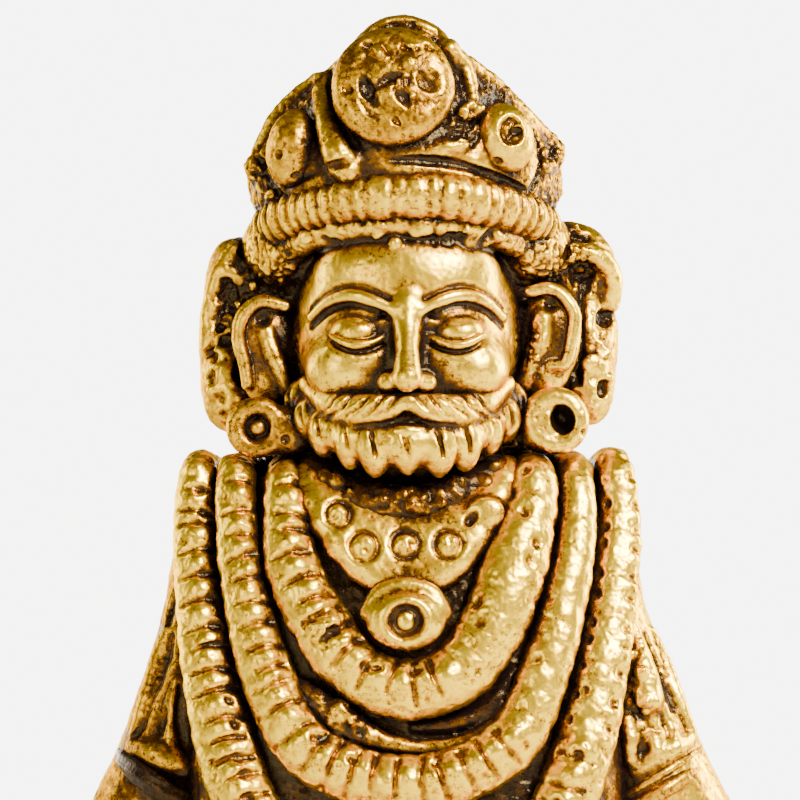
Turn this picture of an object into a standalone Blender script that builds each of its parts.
"""Seated cast brass figurine with a jewelled crown, garlands and a moulded pedestal.

Metres, +Z up, the figure faces -Y. The origin is the centre of the underside.
Every named object is one casting or one fitting; neighbours keep the clearance GAP.
"""

import math

import bmesh
import bpy
from mathutils import Matrix, Quaternion, Vector

MM = 0.001
GAP = 0.3 * MM  # clearance between neighbouring pieces

# Driving dimensions, in metres
HEIGHT = 125 * MM  # underside of the felt to the crown's peak
BASE_HALF_WIDTH = 44 * MM
BASE_HALF_DEPTH = 30 * MM
FELT_THICKNESS = 1.2 * MM
BASE_TOP = 15.3 * MM
SEAT_TOP = 31.5 * MM  # top of the crossed legs, where the torso stands
BOLT_TOP = 42 * MM  # the base bolt ends inside the torso
HEAD_CENTRE_Z = 93 * MM
CAP_BOTTOM = 104 * MM  # rim of the crown cap
BOLT_RADIUS = 2 * MM
DOWEL_RADIUS = 2 * MM
TUBE_STEPS = 2  # rings between two points of a tube's route, and its extra facets a quarter turn

# Torso cross-sections: height, half width, half depth, centre in Y (all mm)
TORSO_STATIONS = (
    (31.8, 24.5, 15.5, 0.0),
    (42.0, 23.6, 14.8, -0.3),
    (54.0, 23.0, 14.4, -0.3),
    (64.0, 22.6, 13.6, 0.0),
    (71.0, 22.2, 12.2, 0.4),
    (75.0, 21.0, 10.8, 0.8),
    (77.5, 17.5, 9.2, 1.0),
    (79.5, 10.5, 8.0, 0.6),
    (84.0, 7.5, 7.5, 0.0),
)
TORSO_SQUARENESS = 3.0

# Garlands: radius and the points of the hanging front, as (x, z) in mm from one shoulder to the other,
# then the points over the shoulders and round the nape as (x, y, z)
GARLANDS = {
    "garland_inner": (
        2.6,
        (
            (-12.2, 74.5), (-11.3, 69.3), (-8.4, 63.4), (-4.8, 59), (0.2, 57.3),
            (5.2, 59), (9, 63.6), (11.6, 69.3), (13, 74.8),
        ),
        ((11.6, -1.5, 78.6), (6.5, 7.4, 79.6), (0, 10, 79.8), (-6.5, 7.4, 79.6), (-11.4, -1.5, 78.6)),
    ),
    "garland_middle": (
        2.2,
        (
            (-17, 74), (-16.4, 69), (-14.3, 59.7), (-10.8, 52.2), (-5.6, 49), (0, 48),
            (5.8, 49), (11, 52.4), (14.4, 59.7), (16.7, 69), (17.2, 74),
        ),
        ((16.4, -0.5, 78.4), (9.8, 10.4, 76), (0, 13.6, 74.5), (-9.8, 10.4, 76), (-16.2, -0.5, 78.4)),
    ),
    "garland_outer": (
        2.3,
        (
            (-21.4, 74), (-21.1, 69), (-19.9, 59.7), (-17.8, 50.1), (-14.4, 43.2), (-8.2, 39.2), (0, 37.6),
            (8.2, 39.2), (14.4, 43.2), (17.7, 50.1), (20, 59.7), (21.4, 69), (21.7, 74),
        ),
        ((20.4, 0.5, 78.6), (14, 11.8, 70), (0, 15, 66), (-14, 11.8, 70), (-20.2, 0.5, 78.4)),
    ),
}


def mm(*values):
    """A vector in metres from coordinates in millimetres."""
    return Vector(values) * MM


# ---------------------------------------------------------------- scene helpers


def clear_scene():
    for obj in list(bpy.data.objects):
        bpy.data.objects.remove(obj, do_unlink=True)


def metal(name, colour, metallic, roughness):
    """A Principled material of one plain finish."""
    made = bpy.data.materials.new(name)
    made.use_nodes = True
    shader = made.node_tree.nodes["Principled BSDF"]
    shader.inputs["Base Color"].default_value = (*colour, 1)
    shader.inputs["Metallic"].default_value = metallic
    shader.inputs["Roughness"].default_value = roughness
    made.diffuse_color = (*colour, 1)
    return made


def antique_brass(name, colour=(0.55, 0.36, 0.09)):
    return metal(name, colour, 0.9, 0.38)


def add_object(name, bm, material=None):
    """The bmesh as a new smooth-shaded object."""
    bmesh.ops.recalc_face_normals(bm, faces=bm.faces)
    mesh = bpy.data.meshes.new(name)
    bm.to_mesh(mesh)
    bm.free()
    mesh.shade_smooth()
    mesh.set_sharp_from_angle(angle=math.radians(35))
    obj = bpy.data.objects.new(name, mesh)
    bpy.context.scene.collection.objects.link(obj)
    if material:
        mesh.materials.append(material)
    return obj


def as_helper(obj):
    """Marks a cutter or a joined shape, which isn't a piece of its own."""
    obj.hide_render = True
    obj.display_type = "WIRE"
    return obj


# ---------------------------------------------------------------- shapes


def oval(centre, half_width, half_depth, squareness=2.0, segments=32):
    """Points of a level superellipse."""
    points = []
    for step in range(segments):
        angle = math.tau * step / segments
        across = math.copysign(abs(math.cos(angle)) ** (2 / squareness), math.cos(angle))
        deep = math.copysign(abs(math.sin(angle)) ** (2 / squareness), math.sin(angle))
        points.append(centre + Vector((half_width * across, half_depth * deep, 0)))
    return points


def loft(name, rings, material=None):
    """A closed solid through rings of equally many points."""
    bm = bmesh.new()
    layers = [[bm.verts.new(point) for point in ring] for ring in rings]
    for lower, upper in zip(layers, layers[1:]):
        for step, vertex in enumerate(lower):
            after = (step + 1) % len(lower)
            bm.faces.new((vertex, lower[after], upper[after], upper[step]))
    bm.faces.new(reversed(layers[0]))
    bm.faces.new(layers[-1])
    return add_object(name, bm, material)


def stack(name, stations, squareness, material=None, segments=32):
    """A loft through level ovals, each (height, half width, half depth, centre in Y) in mm."""
    rings = [
        oval(mm(0, deep_centre, height), half_width * MM, half_depth * MM, squareness, segments)
        for height, half_width, half_depth, deep_centre in stations
    ]
    return loft(name, rings, material)


def limb(name, stations, material=None, sides=14):
    """A round limb through (x, y, z, radius) stations in mm, carried along without twisting."""
    points = [mm(*station[:3]) for station in stations]
    heading = Vector((0, 0, 1))
    turn = Quaternion()
    rings = []
    for index, station in enumerate(stations):
        before = points[max(index - 1, 0)]
        after = points[min(index + 1, len(points) - 1)]
        onward = (after - before).normalized()
        turn = heading.rotation_difference(onward) @ turn
        heading = onward
        circle = oval(Vector(), station[3] * MM, station[3] * MM, segments=sides)
        rings.append([points[index] + turn @ point for point in circle])
    return loft(name, rings, material)


def ellipsoid(name, centre, radii, material=None, tilt=0.0, lean=0.0, facets=16):
    """A ball scaled to its radii (mm), tilted about Y and leaned about X (degrees)."""
    bm = bmesh.new()
    bmesh.ops.create_uvsphere(bm, u_segments=facets, v_segments=facets // 2, radius=MM)
    turn = Matrix.Rotation(math.radians(lean), 4, "X") @ Matrix.Rotation(math.radians(tilt), 4, "Y")
    place = Matrix.Translation(mm(*centre)) @ turn @ Matrix.Diagonal((*radii, 1))
    bmesh.ops.transform(bm, matrix=place, verts=bm.verts)
    return add_object(name, bm, material)


def cylinder(name, centre_z, radius, length, material=None, x=0.0, y=0.0, segments=24):
    """An upright cylinder, in metres."""
    bm = bmesh.new()
    bmesh.ops.create_cone(
        bm, cap_ends=True, segments=segments, radius1=radius, radius2=radius, depth=length
    )
    bmesh.ops.translate(bm, vec=(x, y, centre_z), verts=bm.verts)
    return add_object(name, bm, material)


def hoop(name, centre, major, minor, stretch, turn, material=None, segments=24, sides=8):
    """A ring of round section: a circle of radius minor spun about its own axis, then turned in place."""
    bm = bmesh.new()
    start = bm.verts.new
    circle = [
        start((major + minor * math.cos(math.tau * k / sides), 0, minor * math.sin(math.tau * k / sides)))
        for k in range(sides)
    ]
    edges = [bm.edges.new((circle[k], circle[(k + 1) % sides])) for k in range(sides)]
    bmesh.ops.spin(
        bm, geom=circle + edges, axis=(0, 0, 1), angle=math.tau, steps=segments, use_merge=True
    )
    bmesh.ops.remove_doubles(bm, verts=bm.verts, dist=MM / 100)
    place = Matrix.Translation(centre) @ turn @ Matrix.Diagonal((*stretch, 1))
    bmesh.ops.transform(bm, matrix=place, verts=bm.verts)
    return add_object(name, bm, material)


def tube(name, points, radius, material=None, closed=False):
    """A tube along a smooth curve through the points, turned into a mesh."""
    curve = bpy.data.curves.new(name + "_path", "CURVE")
    curve.dimensions = "3D"
    curve.resolution_u = TUBE_STEPS
    curve.bevel_depth = radius
    curve.bevel_resolution = TUBE_STEPS
    curve.use_fill_caps = not closed
    spline = curve.splines.new("BEZIER")
    spline.bezier_points.add(len(points) - 1)
    for knot, point in zip(spline.bezier_points, points):
        knot.co = point
        knot.handle_left_type = "AUTO"
        knot.handle_right_type = "AUTO"
    spline.use_cyclic_u = closed
    holder = bpy.data.objects.new(name + "_path", curve)
    bpy.context.scene.collection.objects.link(holder)
    bm = bmesh.new()
    bm.from_mesh(evaluated_mesh(holder))
    bpy.data.objects.remove(holder, do_unlink=True)
    bmesh.ops.remove_doubles(bm, verts=bm.verts, dist=MM / 100)
    return add_object(name, bm, material)


# ---------------------------------------------------------------- joining and clearing
# Rounded castings meet in long shallow seams, where the exact solver loses a body, so these
# two operations use the manifold one. Drilled holes keep the exact solver.


def evaluated_mesh(obj):
    bpy.context.view_layer.update()
    graph = bpy.context.evaluated_depsgraph_get()
    return bpy.data.meshes.new_from_object(obj.evaluated_get(graph))


def boolean(target, other, operation, solver="EXACT"):
    modifier = target.modifiers.new(f"{operation.lower()} {other.name}"[:60], "BOOLEAN")
    modifier.operation = operation
    modifier.solver = solver
    modifier.object = other


def join(target, *shapes):
    """Adds the shapes to the target, as one casting."""
    for shape in shapes:
        boolean(target, as_helper(shape), "UNION", "MANIFOLD")
    return target


def clear(target, *neighbours):
    """Cuts the target back to the clearance from each neighbour's whole, uncut shape."""
    for neighbour in neighbours:
        grown = neighbour.copy()
        grown.name = f"{neighbour.name}_grown"
        bpy.context.scene.collection.objects.link(grown)
        for modifier in list(grown.modifiers):
            if modifier.type == "BOOLEAN" and modifier.operation == "DIFFERENCE":
                grown.modifiers.remove(modifier)
        grow = grown.modifiers.new("grow", "DISPLACE")
        grow.mid_level = 0
        grow.strength = GAP
        boolean(target, as_helper(grown), "DIFFERENCE", "MANIFOLD")
    return target


def bore(target, radius, bottom, top):
    """An upright hole on the figure's centre line."""
    drill = cylinder(f"{target.name}_drill", (bottom + top) / 2, radius, top - bottom)
    boolean(target, as_helper(drill), "DIFFERENCE")
    return target


# ---------------------------------------------------------------- base


def make_base():
    brass = antique_brass("pedestal brass", (0.42, 0.27, 0.07))
    steel = metal("zinc plated steel", (0.62, 0.63, 0.64), 1.0, 0.35)
    felt = metal("dark green felt", (0.03, 0.07, 0.04), 0.0, 0.95)

    half_width, half_depth = BASE_HALF_WIDTH / MM, BASE_HALF_DEPTH / MM
    felt_top = FELT_THICKNESS / MM
    base_bottom = (FELT_THICKNESS + GAP) / MM
    base_top = BASE_TOP / MM
    stack(
        "felt_pad",
        [(z, half_width - 2.5, half_depth - 2.5, 0) for z in (0, felt_top)],
        2.2,
        felt,
        segments=40,
    )
    profile = (
        (base_bottom, -0.8),
        (base_bottom + 0.8, 0),
        (base_bottom + 3.2, 0),
        (base_bottom + 4.4, -1.6),
        (base_bottom + 6.4, -3.6),
        (base_top - 4.2, -3.6),
        (base_top - 3, -1.8),
        (base_top - 0.8, -1.8),
        (base_top, -2.6),
    )
    pedestal = stack(
        "pedestal",
        [(z, half_width + step, half_depth + step, 0) for z, step in profile],
        2.2,
        brass,
        segments=40,
    )
    recess_radius = 5.6 * MM
    recess_top = BASE_TOP - 6 * MM
    bore(pedestal, recess_radius, 0, recess_top)
    bore(pedestal, BOLT_RADIUS + GAP, 0, BASE_TOP + MM)

    washer_thickness = 1 * MM
    washer_top = recess_top - GAP
    washer = cylinder("base_washer", washer_top - washer_thickness / 2, 5 * MM, washer_thickness, steel)
    bore(washer, BOLT_RADIUS + GAP, 0, BASE_TOP)

    head_height = 2.6 * MM
    head_top = washer_top - washer_thickness - GAP
    head = cylinder("bolt_head", head_top - head_height / 2, 3.6 * MM, head_height, segments=6)
    shank_bottom = head_top - head_height / 2
    bolt = cylinder(
        "base_bolt", (shank_bottom + BOLT_TOP) / 2, BOLT_RADIUS, BOLT_TOP - shank_bottom, steel
    )
    join(bolt, head)


def make_legs():
    """Crossed legs under the robe, with the knees to the sides and the shins in front."""
    brass = antique_brass("robe brass", (0.50, 0.32, 0.08))
    stations = (
        (BASE_TOP / MM + 0.3, 38.5, 24, -0.5),
        (19.5, 40.5, 25.5, -0.5),
        (24.5, 38, 23.5, -0.5),
        (28.5, 30, 20, 0),
        (SEAT_TOP / MM, 26, 17, 0),
    )
    legs = stack("crossed_legs", stations, 2.2, brass)
    for side in (-1, 1):
        join(legs, ellipsoid(f"knee_{side}", (side * 30, -6, 22.4), (10.5, 14, 6.2)))
    near_shin = limb(
        "near_shin", ((31, -15, 21, 4.6), (14, -23, 20.8, 4.8), (-2, -24.6, 20.6, 4.6), (-14, -21, 20.4, 3.4))
    )
    join(legs, near_shin)
    return bore(legs, BOLT_RADIUS + GAP, 0, BOLT_TOP)


# ---------------------------------------------------------------- body


def torso_section(height):
    """Half width, half depth and centre in Y of the torso at a height, all in mm."""
    for low, high in zip(TORSO_STATIONS, TORSO_STATIONS[1:]):
        if height <= high[0]:
            share = (height - low[0]) / (high[0] - low[0])
            return [a + (b - a) * share for a, b in zip(low[1:], high[1:])]
    return TORSO_STATIONS[-1][1:]


def chest_front(x, z):
    """Y of the torso's front at (x, z), all in mm. Beyond the side it stays at the side's Y."""
    half_width, half_depth, centre = torso_section(z)
    share = min(abs(x) / half_width, 0.97)
    return centre - half_depth * (1 - share**TORSO_SQUARENESS) ** (1 / TORSO_SQUARENESS)


def make_garlands():
    """Three closed loops of ribbed garland, from the one at the throat outwards."""
    brass = antique_brass("garland brass", (0.62, 0.43, 0.13))
    made = []
    for name, (radius, front, back) in GARLANDS.items():
        points = [mm(x, chest_front(x, z) - 0.35 * radius, z) for x, z in front]
        points += [mm(*point) for point in back]
        garland = tube(name, points, radius * MM, brass, closed=True)
        clear(garland, *made)
        made.append(garland)
    return made


def make_collar():
    """A crescent plate on the upper chest, and the round pendant that hangs from it."""
    brass = antique_brass("collar brass", (0.58, 0.39, 0.11))
    half_width, top, bottom_drop, columns, rows = 9.3, 77.2, 9.6, 12, 4
    stand_off = 1.6
    bm = bmesh.new()
    grid = []
    for column in range(columns + 1):
        across = -1 + 2 * column / columns
        x = half_width * across
        upper = top - 4.2 * (1 - across**2)
        lower = top - 0.6 - (bottom_drop - 0.6) * (1 - across**2) ** 0.6
        line = []
        for row in range(rows + 1):
            z = upper + (lower - upper) * row / rows
            line.append(bm.verts.new(mm(x, chest_front(x, z) - stand_off, z)))
        grid.append(line)
    for left, right in zip(grid, grid[1:]):
        for row in range(rows):
            bm.faces.new((left[row], left[row + 1], right[row + 1], right[row]))
    plate = add_object("collar", bm, brass)
    thicken = plate.modifiers.new("thickness", "SOLIDIFY")
    thicken.thickness = 2.4 * MM
    thicken.offset = -1

    centre = (0.2, chest_front(0.2, 64.2) - 1.4, 64.2)
    pendant = ellipsoid("pendant", centre, (4.4, 1.9, 3.3), brass)
    return clear(plate, pendant), pendant


def make_torso(worn):
    """The robed trunk with its neck, grooved for the pieces worn over it."""
    brass = antique_brass("trunk brass", (0.50, 0.32, 0.08))
    torso = stack("torso", TORSO_STATIONS, TORSO_SQUARENESS, brass, segments=36)
    clear(torso, *worn)
    return bore(torso, BOLT_RADIUS + GAP, SEAT_TOP, BOLT_TOP + GAP)


def make_arms(torso, legs, garlands):
    """Sleeved arms from the shoulders to the lap, each with a band round the upper arm."""
    brass = antique_brass("sleeve brass", (0.52, 0.34, 0.08))
    band_brass = antique_brass("armlet brass", (0.40, 0.24, 0.06))
    for side, name in ((-1, "left"), (1, "right")):
        arm = limb(
            f"arm_{name}",
            (
                (side * 17.5, 1.5, 75.5, 3.4),
                (side * 19, 1.5, 71, 4.6),
                (side * 20.2, 1.5, 63, 5),
                (side * 24.6, 1.5, 50, 5.6),
                (side * 28.6, 0.5, 40.5, 6),
                (side * 28.2, -5, 34, 5.8),
                (side * 20.5, -15.5, 31.2, 4.6),
                (side * 11, -19.8, 30.4, 3.8),
                (side * 3.4, -20.6, 29.8, 2.6),
            ),
            brass,
        )
        slope = (mm(side * 28.6, 0.5, 40.5) - mm(side * 20.2, 1.5, 63)).to_track_quat("Z", "Y")
        band = hoop(
            f"armlet_{name}",
            mm(side * 25.4, 1.5, 48),
            5.5 * MM,
            1.1 * MM,
            (1, 1, 1.3),
            slope.to_matrix().to_4x4(),
            band_brass,
        )
        clear(band, torso)
        clear(arm, torso, legs, band, *garlands)


# ---------------------------------------------------------------- head and crown


def make_head(torso):
    """Head with ears, nose and a short full beard, socketed over the neck."""
    brass = antique_brass("head brass", (0.60, 0.41, 0.12))
    centre_z = HEAD_CENTRE_Z / MM
    head = ellipsoid("head", (0.2, -1.2, centre_z), (11.9, 12.6, 14.6), brass, facets=24)
    nose = limb("nose", ((0.2, -12.4, 95, 1.2), (0.2, -14.2, 90, 1.8), (0.2, -13.4, 88, 2)), sides=10)
    beard = tube(
        "beard",
        [mm(*p) for p in ((-9.6, -5.4, 86.5), (-7.6, -9.4, 82), (0.2, -11.6, 80), (8, -9.4, 82), (10, -5.4, 86.5))],
        2.6 * MM,
    )
    join(head, nose, beard)
    for side, reach in ((-1, 13.4), (1, 14.0)):
        ear = ellipsoid(f"ear_{side}", (side * reach, -4.2, 91.2), (3.1, 1.8, 5.2), tilt=side * 12)
        join(head, ear)
    return clear(head, torso)


def make_crown():
    """A domed cap with a rolled band, a round medallion at the front and a boss at each side of it."""
    cap_brass = antique_brass("crown brass", (0.48, 0.30, 0.07))
    trim_brass = antique_brass("crown trim brass", (0.64, 0.45, 0.15))
    stations = (
        (CAP_BOTTOM / MM, 12.6, 11.6, 0),
        (106.5, 14.8, 13.6, 0),
        (109.0, 16.2, 14.8, 0),
        (111.5, 15.0, 14.4, -0.3),
        (115.0, 12.3, 13.0, -1),
        (118.0, 9.2, 11.3, -1.5),
        (121.0, 6.0, 9.2, -2),
        (124.0, 2.8, 5.6, -2.4),
        (HEIGHT / MM, 1.2, 2.6, -2.4),
    )
    cap = stack("crown_cap", stations, 2.0, cap_brass)
    roll = []
    for step in range(16):
        angle = math.tau * step / 16
        rise = 3.4 * max(0.0, math.cos(angle)) ** 1.3
        roll.append(mm(13.6 * math.sin(angle), -13.4 * math.cos(angle), 103.4 + rise))
    band = tube("crown_band", roll, 2.6 * MM, trim_brass, closed=True)
    medallion = ellipsoid("crown_medallion", (-1.2, -13.4, 117.4), (6.2, 2.6, 6.4), trim_brass, lean=-14, facets=24)
    boss_left = ellipsoid("crown_boss_left", (-11.3, -10, 111.3), (2.9, 2.4, 4.2), trim_brass, tilt=14)
    boss_right = ellipsoid("crown_boss_right", (9.9, -11, 112.2), (3, 2.4, 3.5), trim_brass, tilt=-10)
    for trim in (boss_left, boss_right):
        clear(trim, band, medallion)
    clear(cap, band, medallion, boss_left, boss_right)
    return cap, band


def make_head_trim(head, torso, worn, crown):
    """Bunched curls behind the ears, and the ring earrings in front of them."""
    curl_brass = antique_brass("hair brass", (0.45, 0.28, 0.06))
    ring_brass = antique_brass("earring brass", (0.64, 0.45, 0.15))
    facing_front = Matrix.Rotation(math.radians(90), 4, "X")
    for side, name, reach, rise, ring_radius in ((-1, "left", 16.6, 92.8, 2.25), (1, "right", 17.6, 94, 2.4)):
        curls = ellipsoid(f"side_curls_{name}", (side * reach, 2.2, rise), (4.7, 5.6, 9.9), curl_brass, tilt=side * -3)
        earring = hoop(
            f"earring_{name}",
            mm(side * 15, -7.5, 83.8),
            ring_radius * MM,
            1 * MM,
            (1, 1, 1),
            facing_front,
            ring_brass,
            segments=20,
        )
        clear(earring, head, torso, *worn)
        clear(curls, head, torso, earring, *worn, *crown)


def make_dowels(torso, head, cap):
    """Pins that align the head on the neck and the crown on the head."""
    brass = metal("dowel brass", (0.66, 0.48, 0.20), 1.0, 0.3)
    for name, bottom, top, pieces in (
        ("neck_dowel", 74 * MM, 93 * MM, (torso, head)),
        ("crown_dowel", 98 * MM, 112 * MM, (head, cap)),
    ):
        cylinder(name, (bottom + top) / 2, DOWEL_RADIUS, top - bottom, brass, segments=16)
        for piece in pieces:
            bore(piece, DOWEL_RADIUS + GAP, bottom - GAP, top + GAP)


def main():
    clear_scene()
    make_base()
    legs = make_legs()
    garlands = make_garlands()
    collar, pendant = make_collar()
    clear(collar, *garlands)
    worn = [*garlands, collar, pendant]
    torso = make_torso(worn)
    make_arms(torso, legs, garlands[1:])
    head = make_head(torso)
    cap, band = make_crown()
    clear(head, cap, band, *worn)
    make_head_trim(head, torso, worn, (cap, band))
    make_dowels(torso, head, cap)


main()
